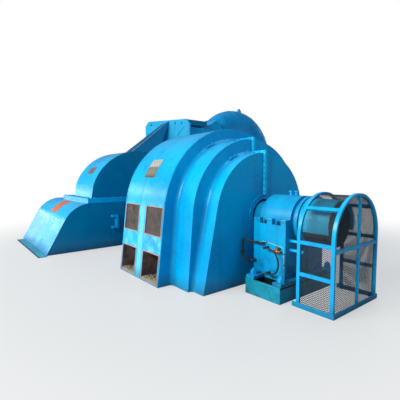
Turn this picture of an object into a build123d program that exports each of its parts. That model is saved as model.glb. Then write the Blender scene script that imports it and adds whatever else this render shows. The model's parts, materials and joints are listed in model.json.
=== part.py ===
from build123d import *
import os
from math import asin, atan2, cos, degrees, hypot, pi, radians, sin, sqrt, tan

# Horizontal-shaft hydroelectric generating unit. Millimetres, +Z up.
# X runs along the shaft: +X is the exciter end ("front"), -X the turbine end ("rear").
# Y is level: -Y is the left side seen from the turbine's end wall, +Y the pipe side.
# The origin is on the floor under the shaft, midway along the generator frame.

# Floor and shaft
SHAFT_HEIGHT = 1000
SHAFT_RADIUS = 120
JOURNAL_GAP = 0.3
SEAT_GAP = 0.3
RUNNING_GAP = 20

# Generator frame, an arch with legs that lean outwards
FRAME_LENGTH = 1273
FRAME_RADIUS = 1400
FRAME_FLARE = 130
END_PLATE = 25

# Stepped end covers
COVER_STEP = 204
COVER_FLARE = 93
COVER_DEPTH = 415
NOSE_STEP = 222
NOSE_FLARE = 240
NOSE_DEPTH = 250
COVE_RADIUS = 60
COVER_BORE = 262
JOINT_RISE = 36
JOINT_THICKNESS = 22
COLLAR_RADIUS = 330
COLLAR_DEPTH = 10

# Air vents in the frame's legs
VENT_WIDTH = 496
VENT_HEIGHT = 450
VENT_OFFSET = 355
VENT_SILL = 22
VENT_TOP_MARGIN = 1
VENT_DEPTH = 320
VENT_BORDER = 14
VENT_BORDER_RISE = 6
SCREEN_THICKNESS = 4
SCREEN_INSET = 12

# Bare plates on the frame
PLATE_X = -20
PLATE_WIDTH = 315
PLATE_ANGLE = 140.5
PLATE_HEIGHTS = (147, 192)
PLATE_THICKNESS = 3
PLATE_SPACING = 3

# Lifting eyes in the coves of the covers
EYE_ANGLE = 116
EYE_RING = 36
EYE_BAR = 9
EYE_SPACING = 85
EYE_SETBACK = 28

# Pedestal bearings
PEDESTAL_START = 1500
PEDESTAL_END = 2046
PEDESTAL_HALF_WIDTH = 440
FOOT_HEIGHT = 45
FOOT_INSET = 15
FOOT_SLOT = (1680, 2000)
FOOT_SLOT_DEPTH = 215
SOLE_START = 1545
SOLE_END = 2135
SOLE_HALF_WIDTH = 655
SOLE_HEIGHT = 210
SOLE_RIM = 35
SOLE_POCKET_DEPTH = 120
CAP_RADIUS = 345
CAP_START = 1536
CAP_FLANGE_HEIGHT = 40
BOLT_POCKETS = ((1610, 1735), (1821, 1970))
POCKET_DEPTH = 60
POCKET_DROP = 35
SEAL_RADIUS = 230
SEAL_CLEARANCE = 5
ANCHORS_X = (1600, 2067)
ANCHOR_Y = 545
ANCHOR_RADIUS = 27
ANCHOR_NUT = 48
ANCHOR_NUT_HEIGHT = 56
ANCHOR_STUD = 26
BREATHERS_X = (1806, 1896)
BREATHER_RADIUS = 24
BREATHER_HEIGHT = 62
BREATHER_HEAD = 34
BREATHER_HEAD_HEIGHT = 18

# Exciter, which hangs from the front bearing
EXCITER_START = 2210
EXCITER_LENGTH = 275
EXCITER_RADIUS = 305
EXCITER_BORE = 215
EXCITER_HOOD_THICKNESS = 12
EXCITER_HOOD_DROP = 18
EXCITER_HOOD_OVERHANG = 80
ADAPTER_RADIUS = 345
ADAPTER_GROOVE_RADIUS = 300
ADAPTER_RINGS = ((54, 99), (119, 164))
ARMATURE_RADIUS = 195
ARMATURE_INSET = 25
END_DISC_RADIUS = 290
END_DISC_THICKNESS = 26
END_DISC_GAP = 8
HUB_RADIUS = 35
HUB_LENGTH = 135

# Guard cage round the exciter; heights are from the shaft
CAGE_START = 2282
CAGE_END = 2776
CAGE_HALF_WIDTH = 528
CAGE_TOP = SHAFT_HEIGHT + 408
CAGE_BAR = 45
CAGE_BAR_DEPTH = 28
CAGE_BASE_BAR = 60
CAGE_BASE_THICKNESS = 14
CAGE_BASE_TAIL = 50
CAGE_RAILS = (SHAFT_HEIGHT - 576, SHAFT_HEIGHT - 184)
CAGE_END_RAIL = SHAFT_HEIGHT - 239
CAGE_ARCH_RAIL_ANGLE = 42
CAGE_POST_Y = 38
CAGE_POST_WIDTH = 35
MESH_THICKNESS = 4
MESH_FOOT = 8

# Turbine casing
CASING_FACE = -2450
CASING_WIDTH = 2500
CASING_FOOT = -2322
CASING_CREASE = (-1937, SHAFT_HEIGHT - 310)
CASING_SHOULDER = -1440
CASING_HEIGHT = SHAFT_HEIGHT + 35
CASING_BACK = 1500
CASING_LIP_FRONT = -2490
CASING_LIP_THICKNESS = 12
CASING_LIP_SHIFT = 90
CASING_LIP_LENGTH = 2390
CASING_FLANGE_FRONT = -1430
CASING_FLANGE_HEIGHT = 100
CASING_FLANGE_WIDTH = 1855
SEAL_HOUSING_DEPTH = 60
SHAFT_ENTRY = 60
BRACKET_REACH = 80
BRACKET_BACK = -768
BRACKET_WIDTH = 145
BRACKET_HEIGHTS = (SHAFT_HEIGHT - 570, SHAFT_HEIGHT - 260)
BRACKET_BAR = 50

# Upper casing of the turbine
UPPER_INSET = 100
UPPER_WIDTH = 1200
UPPER_RADIUS = 1230
UPPER_AXIS_Y = -113
UPPER_CREASE = SHAFT_HEIGHT + 430
UPPER_FOOT_FLARE = 50

# Nozzle conduit; side distances are from the middle of the upper casing
CONDUIT_TOP_START = (-300, SHAFT_HEIGHT + 1082)
CONDUIT_APEX = (1109, SHAFT_HEIGHT + 2174)
CONDUIT_HEEL = (553, SHAFT_HEIGHT + 950)
CONDUIT_NEAR_SIDE = (211, 148)
CONDUIT_FAR_SIDE = (-232, -52)

# Head plate across the conduit's upper end, turned in plan, and the box behind it
HEAD_PLATE_SHIFT = 89
HEAD_PLATE_Y = 1022
HEAD_PLATE_TURN = 27.5
HEAD_PLATE_HALF_WIDTH = 697
HEAD_PLATE_THICKNESS = 50
HEAD_TOP = SHAFT_HEIGHT + 2150
HEAD_PLATE_HEIGHT = 800
HEAD_PLATE_CHAMFER = (104, 124)
HEAD_BOX_SIDE = 575
HEAD_BOX_WIDTH = 1065
HEAD_BOX_HEIGHT = 136
HEAD_BOX_BACK = 2055
HEAD_NECK_HEIGHT = 50
HEAD_NECK_INSET = 120
CHAMBER_WIDTH = 960
CHAMBER_HALF_MOUTH = 430
CHAMBER_LOW_FRONT = SHAFT_HEIGHT + 1450
CHAMBER_KNEE = (2300, SHAFT_HEIGHT + 1150)

# Inlet pipe; the bend's plane is beside the middle of the upper casing
BEND_SHIFT = 45
PIPE_RADIUS = 400
PIPE_WALL = 16
BEND_RADIUS = 1168
BEND_AXIS_Y = 3609
BEND_AXIS_Z = SHAFT_HEIGHT + 1130
BEND_SWEEP = 134
BEND_FLANGE_RADIUS = 450
FOOT_FLANGE_RADIUS = 500
PIPE_FLANGE_THICKNESS = 50
FOOT_BOLTS = 12
FOOT_BOLT_CIRCLE = 450
FOOT_BOLT_HOLE = 15
AIR_VALVE_ANGLE = 81
AIR_VALVE_RADIUS = 72
AIR_VALVE_HEIGHT = 60
AIR_VALVE_CAP_RADIUS = 45
AIR_VALVE_CAP_HEIGHT = 55

# Oil pipework on the near side of the front bearing; heights are from the shaft
OIL_PIPE_RADIUS = 14
OIL_PIPE_STANDOFF = 60
OIL_FEED = (1703, SHAFT_HEIGHT - 300)
OIL_LOOP_GAP = 43.5
OIL_RETURN = (1541, SHAFT_HEIGHT - 570)
VALVE_MIDDLE = (1945, SHAFT_HEIGHT - 368)
VALVE_HALF_LENGTH = 52
VALVE_HALF_HEIGHT = 46
VALVE_EDGE = 18
VALVE_REACH = 70
HOSE_RADIUS = 11
HOSE_STANDOFF = 84
HOSE_ROUTE = (
    (1790, -350), (1885, -350), (1970, -415), (2008, -520), (1990, -630), (1910, -695), (1820, -695),
)
HOSE_ARC_SHARE = 0.45
FITTING_LENGTH = 50
FITTING_SIDE = 40
STUB_RADIUS = 22
STUB_Y = -340
STUB_DROPS = (235, 357)
STUB_CAGE_GAP = 20

# Sizes that follow from the ones above
FRAME_FOOT = FRAME_RADIUS + FRAME_FLARE
COVER_RADIUS = FRAME_RADIUS - COVER_STEP
COVER_FOOT = COVER_RADIUS + COVER_FLARE
NOSE_RADIUS = COVER_RADIUS - NOSE_STEP
NOSE_FOOT = NOSE_RADIUS + NOSE_FLARE
FRAME_HALF = FRAME_LENGTH / 2
COVER_FACE = FRAME_HALF + COVER_DEPTH
NOSE_FACE = COVER_FACE + NOSE_DEPTH
FAR = 10 * FRAME_RADIUS

os.makedirs("parts", exist_ok=True)
nodes = {}


def keep(name, *solids):
    """Put solids under a node name."""
    nodes[name] = solids[0] if len(solids) == 1 else Compound(children=list(solids))


def block(x, y, z):
    """A box from its low and high coordinates on each axis."""
    size = [high - low for low, high in (x, y, z)]
    middle = [(low + high) / 2 for low, high in (x, y, z)]
    return Pos(*middle) * Box(*size)


def rod(radius, x, y=0, z=SHAFT_HEIGHT):
    """A cylinder along X."""
    start, end = x
    turned = Rot(0, 90, 0) * Cylinder(radius, end - start)
    return Pos((start + end) / 2, y, z) * turned


def ring(outer, inner, x):
    """A ring round the shaft line."""
    return rod(outer, x) - rod(inner, (x[0] - 1, x[1] + 1))


def post(radius, x, y, z):
    """An upright cylinder between two heights."""
    return Pos(x, y, (z[0] + z[1]) / 2) * Cylinder(radius, z[1] - z[0])


def rear(solid):
    """The copy of a front piece at the rear end of the frame."""
    return mirror(solid, about=Plane.YZ)


def arch_tangent(radius, foot):
    """Where a leg meets its arch, from the middle and the floor; then its lean and its length."""
    reach = hypot(foot, SHAFT_HEIGHT)
    run = sqrt(reach**2 - radius**2)
    lean = atan2(SHAFT_HEIGHT, foot) + asin(radius / reach)
    return foot - run * cos(lean), run * sin(lean), pi / 2 - lean, run


def arch(radius, foot, x):
    """A solid arch on straight leaning legs, between two places along the shaft."""
    start, end = x
    half, height, _, _ = arch_tangent(radius, foot)
    outline = Polyline((-half, height), (-foot, 0), (foot, 0), (half, height))
    outline += ThreePointArc((half, height), (0, SHAFT_HEIGHT + radius), (-half, height))
    face = Plane.YZ * make_face(outline)
    return Pos(start, 0, 0) * extrude(face, end - start, dir=(1, 0, 0))


_, _, LEG_LEAN, LEG_LENGTH = arch_tangent(FRAME_RADIUS, FRAME_FOOT)


def leg_plane(side):
    """The outer face of a frame leg: local X along the shaft, local Y up the leg."""
    return Plane(
        origin=(0, side * FRAME_FOOT, 0),
        x_dir=(-side, 0, 0),
        z_dir=(0, side * cos(LEG_LEAN), sin(LEG_LEAN)),
    )


def vent_places():
    """Centre of each vent on a leg face: low vents near the floor, high ones up to the arch."""
    for offset in (-VENT_OFFSET, VENT_OFFSET):
        yield offset, VENT_SILL + VENT_HEIGHT / 2, False
        yield offset, LEG_LENGTH - VENT_TOP_MARGIN - VENT_HEIGHT / 2, True


def vent_block(side, width, height, depth, offset, middle):
    """A box on a leg face, between two depths measured outwards from it."""
    low, high = depth
    return leg_plane(side) * Pos(offset, middle, (low + high) / 2) * Box(width, height, high - low)


# Generator frame with a pocket behind every vent
frame_solid = arch(FRAME_RADIUS, FRAME_FOOT, (END_PLATE - FRAME_HALF, FRAME_HALF - END_PLATE))
frame_solid -= rod(COVER_BORE, (-FRAME_HALF, FRAME_HALF))
borders, screens = [], []
pocket = (VENT_WIDTH - 2 * VENT_BORDER, VENT_HEIGHT - 2 * VENT_BORDER)
for side in (-1, 1):
    for offset, middle, screened in vent_places():
        low, high = [(middle + half * pocket[1] / 2) * cos(LEG_LEAN) for half in (-1, 1)]
        back = FRAME_FOOT - middle * sin(LEG_LEAN) - VENT_DEPTH
        y_range = sorted((side * back, side * (FRAME_FOOT + 1)))
        frame_solid -= block((offset - pocket[0] / 2, offset + pocket[0] / 2), y_range, (low, high))
        border = vent_block(side, VENT_WIDTH, VENT_HEIGHT, (0, VENT_BORDER_RISE), offset, middle)
        borders.append(border - vent_block(side, *pocket, (-1, VENT_BORDER_RISE + 1), offset, middle))
        if screened:
            depth = (-SCREEN_INSET - SCREEN_THICKNESS, -SCREEN_INSET)
            width, height = pocket[0] - 2 * SEAT_GAP, pocket[1] - SCREEN_INSET
            screens.append(vent_block(side, width, height, depth, offset, middle))
keep("vent_borders", *borders)
keep("vent_screens", *screens)
keep("generator_frame", frame_solid)


def on_outline(edge, x, radius, foot):
    """Whether an edge lies on the line where an arch meets the flat face at x."""
    half, height, _, _ = arch_tangent(radius, foot)
    at = edge.center()
    if abs(at.X - x) > 1 or edge.bounding_box().size.X > 1:
        return False
    if edge.geom_type == GeomType.LINE:
        return abs(abs(at.Y) - (foot + half) / 2) < 1 and abs(at.Z - height / 2) < 1
    return edge.geom_type == GeomType.CIRCLE and abs(edge.radius - radius) < 1


def end_cover():
    """The whole stepped cover at the front end, with its coves and shaft bore."""
    body = arch(FRAME_RADIUS, FRAME_FOOT, (FRAME_HALF - END_PLATE, FRAME_HALF))
    body += arch(COVER_RADIUS, COVER_FOOT, (FRAME_HALF, COVER_FACE))
    body += arch(NOSE_RADIUS, NOSE_FOOT, (COVER_FACE, NOSE_FACE))
    for x, radius, foot in ((FRAME_HALF, COVER_RADIUS, COVER_FOOT), (COVER_FACE, NOSE_RADIUS, NOSE_FOOT)):
        corner = [edge for edge in body.edges() if on_outline(edge, x, radius, foot)]
        body = fillet(corner, COVE_RADIUS)
    return body - rod(COVER_BORE, (0, NOSE_FACE + 1))


def joint_flange():
    """The raised flange that follows the steps in the cover's middle plane."""
    top = SHAFT_HEIGHT + COVER_RADIUS + JOINT_RISE
    low_top = SHAFT_HEIGHT + NOSE_RADIUS + JOINT_RISE
    points = [
        (FRAME_HALF, 0), (NOSE_FACE + JOINT_RISE, 0), (NOSE_FACE + JOINT_RISE, low_top),
        (COVER_FACE + JOINT_RISE, low_top), (COVER_FACE + JOINT_RISE, top), (FRAME_HALF, top),
    ]
    face = Plane.XZ * make_face(Polyline(*points, close=True))
    plate = extrude(face, JOINT_THICKNESS, both=True)
    plate -= rod(COLLAR_RADIUS + 2, (NOSE_FACE, NOSE_FACE + 2 * JOINT_RISE))
    return plate - rod(COVER_BORE, (0, NOSE_FACE + 1))


def lifting_eyes():
    """Pairs of welded rings in both coves of a cover, each side of its joint."""
    eyes = []
    for radius, face in ((COVER_RADIUS, FRAME_HALF), (NOSE_RADIUS, COVER_FACE)):
        reach = radius + EYE_RING / 2
        for hand in (-1, 1):
            for shift in (-EYE_SPACING / 2, EYE_SPACING / 2):
                angle = radians(EYE_ANGLE) + shift / radius
                y, z = -hand * reach * cos(angle), SHAFT_HEIGHT + reach * sin(angle)
                eyes.append(Pos(face + EYE_SETBACK, y, z) * Rot(0, 90, 0) * Torus(EYE_RING, EYE_BAR))
    return eyes


cover = end_cover() + joint_flange()
for eye in lifting_eyes():
    cover += eye
for hand, y_range in (("left", (-FAR, 0)), ("right", (0, FAR))):
    half_cover = cover & block((0, FAR), y_range, (-1, FAR))
    keep(f"front_cover_{hand}", half_cover)
    keep(f"rear_cover_{hand}", rear(half_cover))

# Collars round the shaft openings
collar = ring(COLLAR_RADIUS, COVER_BORE, (NOSE_FACE, NOSE_FACE + COLLAR_DEPTH))
keep("shaft_collars", collar, rear(collar))


def curved_plate(start_angle, length):
    """A thin plate that lies on the frame's arch, starting at an angle from +Y."""
    sweep = degrees(length / FRAME_RADIUS)
    inner = FRAME_RADIUS
    outer = FRAME_RADIUS + PLATE_THICKNESS
    shell = ring(outer, inner, (PLATE_X - PLATE_WIDTH / 2, PLATE_X + PLATE_WIDTH / 2))
    a, b = radians(start_angle), radians(start_angle + sweep)
    reach = 2 * FRAME_RADIUS
    wedge = Polyline((0, 0), (reach * cos(a), reach * sin(a)), (reach * cos(b), reach * sin(b)), close=True)
    cutter = Pos(0, 0, SHAFT_HEIGHT) * (Plane.YZ * make_face(wedge))
    return shell & extrude(cutter, FRAME_LENGTH / 2, both=True)


upper_sweep = degrees((PLATE_HEIGHTS[0] + PLATE_SPACING) / FRAME_RADIUS)
keep(
    "rating_plates",
    curved_plate(PLATE_ANGLE, PLATE_HEIGHTS[0]),
    curved_plate(PLATE_ANGLE + upper_sweep, PLATE_HEIGHTS[1]),
)



def both_sides(shape):
    """A shape with its copy on the other side of the shaft."""
    return shape + mirror(shape, about=Plane.XZ)


def bearing():
    """Sole, pedestal, cap and anchors of the front bearing."""
    nose_start = NOSE_FACE + SEAL_CLEARANCE
    body_x = (PEDESTAL_START, PEDESTAL_END)
    cap_x = (CAP_START, PEDESTAL_END)
    sole_x = (SOLE_START, SOLE_END)
    foot_top = SOLE_HEIGHT + FOOT_HEIGHT
    foot_half = SOLE_HALF_WIDTH - FOOT_INSET
    flange_top = SHAFT_HEIGHT + CAP_FLANGE_HEIGHT
    bore = rod(SHAFT_RADIUS + JOURNAL_GAP, (0, FAR))
    sole = block(sole_x, (-SOLE_HALF_WIDTH, SOLE_HALF_WIDTH), (0, SOLE_HEIGHT))
    foot = block(sole_x, (-foot_half, foot_half), (SOLE_HEIGHT, foot_top))
    slot = block(FOOT_SLOT, (-foot_half - 1, FOOT_SLOT_DEPTH - foot_half), (SOLE_HEIGHT - 1, foot_top))
    foot -= both_sides(slot)
    pocket_y = (SOLE_RIM - SOLE_HALF_WIDTH, FOOT_SLOT_DEPTH - foot_half)
    sole -= both_sides(block(FOOT_SLOT, pocket_y, (SOLE_HEIGHT - SOLE_POCKET_DEPTH, SOLE_HEIGHT + 1)))
    body = block(body_x, (-PEDESTAL_HALF_WIDTH, PEDESTAL_HALF_WIDTH), (foot_top, SHAFT_HEIGHT))
    nose = rod(SEAL_RADIUS, (nose_start, CAP_START))
    below = block((0, FAR), (-FAR, FAR), (0, SHAFT_HEIGHT))
    above = block((0, FAR), (-FAR, FAR), (SHAFT_HEIGHT, FAR))
    pedestal = foot + body + (nose & below) - bore
    flange = block(body_x, (-PEDESTAL_HALF_WIDTH, PEDESTAL_HALF_WIDTH), (SHAFT_HEIGHT, flange_top))
    cap = ((rod(CAP_RADIUS, cap_x) + nose) & above) + flange - bore
    for pocket_x in BOLT_POCKETS:
        y_range = (-PEDESTAL_HALF_WIDTH - 1, POCKET_DEPTH - PEDESTAL_HALF_WIDTH)
        pockets = both_sides(block(pocket_x, y_range, (SHAFT_HEIGHT - POCKET_DROP, flange_top + 1)))
        pedestal -= pockets
        cap -= pockets
    studs = []
    for x in ANCHORS_X:
        for y in (-ANCHOR_Y, ANCHOR_Y):
            nut = Pos(x, y, foot_top) * extrude(RegularPolygon(ANCHOR_NUT, 6), ANCHOR_NUT_HEIGHT)
            top = foot_top + ANCHOR_NUT_HEIGHT
            studs.append(nut + post(ANCHOR_RADIUS, x, y, (top, top + ANCHOR_STUD)))
    return sole, pedestal, cap, studs


sole, pedestal, cap, anchors = bearing()
keep("bearing_soles", sole, rear(sole))
keep("front_bearing_pedestal", pedestal)
keep("rear_bearing_pedestal", rear(pedestal))
keep("front_bearing_cap", cap)
keep("rear_bearing_cap", rear(cap))
keep("bearing_anchors", *anchors, *[rear(anchor) for anchor in anchors])

# Breathers on top of the front cap
breathers = []
cap_top = SHAFT_HEIGHT + CAP_RADIUS
for x in BREATHERS_X:
    head = (cap_top + BREATHER_HEIGHT - BREATHER_HEAD_HEIGHT, cap_top + BREATHER_HEIGHT)
    stem = post(BREATHER_RADIUS, x, 0, (cap_top + SEAT_GAP, head[0]))
    breathers.append(stem + post(BREATHER_HEAD, x, 0, head))
keep("cap_breathers", *breathers)

# Exciter: adapter rings and frame ring on the bearing's end, hood, and the parts on the shaft
exciter_end = EXCITER_START + EXCITER_LENGTH
adapter_bore = SHAFT_RADIUS + RUNNING_GAP
adapter = ring(ADAPTER_GROOVE_RADIUS, adapter_bore, (PEDESTAL_END, EXCITER_START))
for start, end in ADAPTER_RINGS:
    adapter += ring(ADAPTER_RADIUS, adapter_bore, (PEDESTAL_END + start, PEDESTAL_END + end))
keep("exciter_adapter", adapter)
keep("exciter_frame", ring(EXCITER_RADIUS, EXCITER_BORE, (EXCITER_START, exciter_end)))


def exciter_hood():
    """Bright sheet hood over the upper part of the exciter frame, reaching out past its end."""
    inner = EXCITER_RADIUS + SEAT_GAP
    outer = inner + EXCITER_HOOD_THICKNESS
    drop = outer * sin(radians(EXCITER_HOOD_DROP))
    span = (EXCITER_START, exciter_end + EXCITER_HOOD_OVERHANG)
    return ring(outer, inner, span) & block(span, (-FAR, FAR), (SHAFT_HEIGHT - drop, FAR))


keep("exciter_hood", exciter_hood())
armature_x = (EXCITER_START + ARMATURE_INSET, exciter_end - ARMATURE_INSET)
keep("exciter_armature", ring(ARMATURE_RADIUS, SHAFT_RADIUS + SEAT_GAP, armature_x))
disc_start = exciter_end + END_DISC_GAP
disc_end = disc_start + END_DISC_THICKNESS
end_disc = rod(END_DISC_RADIUS, (disc_start, disc_end)) + rod(HUB_RADIUS, (disc_start, disc_end + HUB_LENGTH))
keep("exciter_end_disc", end_disc)
keep("main_shaft", rod(SHAFT_RADIUS, (CASING_FACE - SHAFT_ENTRY, disc_start)))

# Guard cage: hoops on posts, rails, and flat bars along the floor
CAGE_SPRING = CAGE_TOP - CAGE_HALF_WIDTH
cage_inner = CAGE_HALF_WIDTH - CAGE_BAR_DEPTH


def hoop(start):
    """Two posts and a half-round hoop, from a place along the shaft."""
    half, inset = CAGE_HALF_WIDTH, cage_inner
    outer = Polyline((-half, CAGE_SPRING), (-half, 0), (half, 0), (half, CAGE_SPRING))
    outer += ThreePointArc((half, CAGE_SPRING), (0, CAGE_TOP), (-half, CAGE_SPRING))
    inner = Polyline((-inset, CAGE_SPRING), (-inset, -1), (inset, -1), (inset, CAGE_SPRING))
    inner += ThreePointArc((inset, CAGE_SPRING), (0, CAGE_TOP - CAGE_BAR_DEPTH), (-inset, CAGE_SPRING))
    face = make_face(outer) - make_face(inner)
    return Pos(start, 0, 0) * extrude(Plane.YZ * face, CAGE_BAR, dir=(1, 0, 0))


def bar_heights(middle):
    """Low and high edge of a level bar."""
    return middle - CAGE_BAR / 2, middle + CAGE_BAR / 2


keep("cage_back_hoop", hoop(CAGE_START))
front_x = (CAGE_END - CAGE_BAR_DEPTH, CAGE_END)
base_end = CAGE_END + CAGE_BASE_THICKNESS
base_z = (0, CAGE_BASE_BAR)
front = hoop(CAGE_END - CAGE_BAR)
front += block(front_x, (-cage_inner, cage_inner), bar_heights(CAGE_END_RAIL))
post_y = (CAGE_POST_Y - CAGE_POST_WIDTH / 2, CAGE_POST_Y + CAGE_POST_WIDTH / 2)
front += block(front_x, post_y, (0, CAGE_TOP - CAGE_BAR_DEPTH / 2))
front += block((CAGE_END, base_end), (-CAGE_HALF_WIDTH, CAGE_HALF_WIDTH), base_z)
keep("cage_front_frame", front)
between = (CAGE_START + CAGE_BAR, CAGE_END - CAGE_BAR)
rails = []
for side in (-1, 1):
    across = sorted((side * CAGE_HALF_WIDTH, side * cage_inner))
    rails += [block(between, across, bar_heights(z)) for z in CAGE_RAILS]
    angle = radians(CAGE_ARCH_RAIL_ANGLE)
    reach = CAGE_HALF_WIDTH - CAGE_BAR_DEPTH / 2
    centre = (side * reach * cos(angle), CAGE_SPRING + reach * sin(angle))
    bar = Box(between[1] - between[0], CAGE_BAR_DEPTH, CAGE_BAR)
    rails.append(Pos(sum(between) / 2, *centre) * Rot(side * CAGE_ARCH_RAIL_ANGLE, 0, 0) * bar)
    outside = sorted((side * CAGE_HALF_WIDTH, side * (CAGE_HALF_WIDTH + CAGE_BASE_THICKNESS)))
    rails.append(block((CAGE_START - CAGE_BASE_TAIL, base_end), outside, base_z))
keep("cage_rails", *rails)

# Mesh sheets fixed inside the cage's bars
mesh_outer = cage_inner - SEAT_GAP
end_x = (front_x[0] - MESH_THICKNESS, front_x[0])
mesh_x = (CAGE_START + CAGE_BAR / 2, end_x[0] - SEAT_GAP)
for hand, y_range in (
    ("left", (-mesh_outer, MESH_THICKNESS - mesh_outer)),
    ("right", (mesh_outer - MESH_THICKNESS, mesh_outer)),
):
    keep(f"cage_mesh_{hand}", block(mesh_x, y_range, (MESH_FOOT, CAGE_SPRING)))
tube = rod(mesh_outer, mesh_x, z=CAGE_SPRING)
tube -= rod(mesh_outer - MESH_THICKNESS, (mesh_x[0] - 1, mesh_x[1] + 1), z=CAGE_SPRING)
keep("cage_mesh_top", tube & block(mesh_x, (-CAGE_TOP, CAGE_TOP), (CAGE_SPRING, CAGE_TOP)))
end_sheet = block(end_x, (-mesh_outer, mesh_outer), (MESH_FOOT, CAGE_SPRING))
half_round = block(end_x, (-CAGE_TOP, CAGE_TOP), (CAGE_SPRING, CAGE_TOP))
end_sheet += rod(mesh_outer, end_x, z=CAGE_SPRING) & half_round
keep("cage_mesh_front", end_sheet)


def side_prism(outline, x):
    """An outline in the YZ plane, extruded between two places along X."""
    face = Plane.YZ * make_face(outline)
    return Pos(x[0], 0, 0) * extrude(face, x[1] - x[0], dir=(1, 0, 0))


def lower_casing_outline():
    """Side outline of the lower casing: leaning front, curved shoulder, flat top, upright back."""
    crease_y, crease_z = CASING_CREASE
    run = Vector(crease_y - CASING_FOOT, crease_z).normalized()
    shoulder = (CASING_SHOULDER, CASING_HEIGHT)
    back = (CASING_BACK, CASING_HEIGHT)
    outline = Polyline(shoulder, back, (CASING_BACK, 0), (CASING_FOOT, 0), CASING_CREASE)
    return outline + TangentArc(CASING_CREASE, shoulder, tangent=run)


# Turbine casing
casing_x = (CASING_FACE - CASING_WIDTH, CASING_FACE)
shaft_pocket = rod(SHAFT_RADIUS + RUNNING_GAP, (CASING_FACE - SHAFT_ENTRY - RUNNING_GAP, CASING_FACE + 1))
keep("turbine_lower_casing", side_prism(lower_casing_outline(), casing_x) - shaft_pocket)
lip_end = CASING_FACE + CASING_LIP_SHIFT
lip_x = (lip_end - CASING_LIP_LENGTH, lip_end)
keep("casing_base_lip", block(lip_x, (CASING_LIP_FRONT, CASING_FOOT), (0, CASING_LIP_THICKNESS)))
flange_top = CASING_HEIGHT + CASING_FLANGE_HEIGHT
casing_flange = block(
    (CASING_FACE - CASING_FLANGE_WIDTH, CASING_FACE),
    (CASING_FLANGE_FRONT, CASING_BACK),
    (CASING_HEIGHT, flange_top),
)
keep("turbine_casing_flange", casing_flange - shaft_pocket)
seal_x = (CASING_FACE, CASING_FACE + SEAL_HOUSING_DEPTH)
keep("turbine_shaft_seal", ring(SEAL_RADIUS, SHAFT_RADIUS + RUNNING_GAP, seal_x))

# Side bracket of the lower casing
bracket_x = (CASING_FACE, CASING_FACE + BRACKET_REACH)
low, high = BRACKET_HEIGHTS
bracket = block(bracket_x, (BRACKET_BACK - BRACKET_BAR, BRACKET_BACK), (low, high))
for z in ((low, low + BRACKET_BAR), (high - BRACKET_BAR, high)):
    bracket += block(bracket_x, (BRACKET_BACK - BRACKET_WIDTH, BRACKET_BACK), z)
keep("casing_bracket", bracket)

# Upper casing, a half-round hood on a short front that flares to its foot
upper_middle = CASING_FACE - UPPER_INSET - UPPER_WIDTH / 2
upper_x = (upper_middle - UPPER_WIDTH / 2, upper_middle + UPPER_WIDTH / 2)


def upper_casing_outline():
    """Side outline of the upper casing."""
    half = sqrt(UPPER_RADIUS**2 - (UPPER_CREASE - SHAFT_HEIGHT) ** 2)
    foot = half + UPPER_FOOT_FLARE
    left, right = (UPPER_AXIS_Y - half, UPPER_CREASE), (UPPER_AXIS_Y + half, UPPER_CREASE)
    outline = Polyline(left, (UPPER_AXIS_Y - foot, flange_top), (UPPER_AXIS_Y + foot, flange_top), right)
    return outline + ThreePointArc(right, (UPPER_AXIS_Y, SHAFT_HEIGHT + UPPER_RADIUS), left)


keep("turbine_upper_casing", side_prism(upper_casing_outline(), upper_x))

# Head plate that the conduit ends on, with chamfered upper corners, turned in plan
plate_at = Pos(upper_middle + HEAD_PLATE_SHIFT, HEAD_PLATE_Y, HEAD_TOP) * Rot(0, 0, HEAD_PLATE_TURN)
across, down = HEAD_PLATE_CHAMFER
plate_half = HEAD_PLATE_HALF_WIDTH
plate_face = make_face(Polyline(
    (-plate_half, -HEAD_PLATE_HEIGHT), (plate_half, -HEAD_PLATE_HEIGHT), (plate_half, -down),
    (plate_half - across, 0), (across - plate_half, 0), (-plate_half, -down),
    close=True,
))
head_plate = extrude(Plane.XZ * plate_face, HEAD_PLATE_THICKNESS, dir=(0, 1, 0))
keep("head_plate", plate_at * head_plate)


def in_front(depth):
    """Everything on the conduit's side of a plane parallel to the head plate."""
    return plate_at * Pos(0, depth - FAR / 2, 0) * Box(2 * FAR, FAR, 2 * FAR)


# Nozzle conduit, which climbs from the upper casing and narrows towards the head plate
low_y, apex_y = CONDUIT_TOP_START[0], CONDUIT_APEX[0]
profile = Polyline(CONDUIT_TOP_START, CONDUIT_APEX, CONDUIT_HEEL, (low_y, CONDUIT_HEEL[1]), close=True)
plan = make_face(Polyline(
    (upper_middle + CONDUIT_NEAR_SIDE[0], low_y), (upper_middle + CONDUIT_NEAR_SIDE[1], apex_y),
    (upper_middle + CONDUIT_FAR_SIDE[1], apex_y), (upper_middle + CONDUIT_FAR_SIDE[0], low_y),
    close=True,
))
conduit = side_prism(profile, upper_x) & extrude(plan, FAR)
conduit &= in_front(0)
keep("nozzle_conduit", conduit - rod(UPPER_RADIUS + SEAT_GAP, (upper_x[0] - 1, upper_x[1] + 1), UPPER_AXIS_Y))

# Head box with its own flange behind the plate, on a neck that leaves a slot over the chamber
box_x = (upper_middle + HEAD_BOX_SIDE - HEAD_BOX_WIDTH, upper_middle + HEAD_BOX_SIDE)
box_low = HEAD_TOP - HEAD_BOX_HEIGHT
neck_low = box_low - HEAD_NECK_HEIGHT
flange_back = 2 * HEAD_PLATE_THICKNESS
head_box = block(box_x, (0, HEAD_BOX_BACK), (box_low, HEAD_TOP))
neck_x = (box_x[0] + HEAD_NECK_INSET, box_x[1] - HEAD_NECK_INSET)
head_box += block(neck_x, (0, HEAD_BOX_BACK - HEAD_NECK_INSET), (neck_low, box_low))
head_box -= in_front(HEAD_PLATE_THICKNESS)
head_box += plate_at * Pos(0, HEAD_PLATE_THICKNESS, 0) * head_plate
keep("head_box", head_box)

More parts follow.
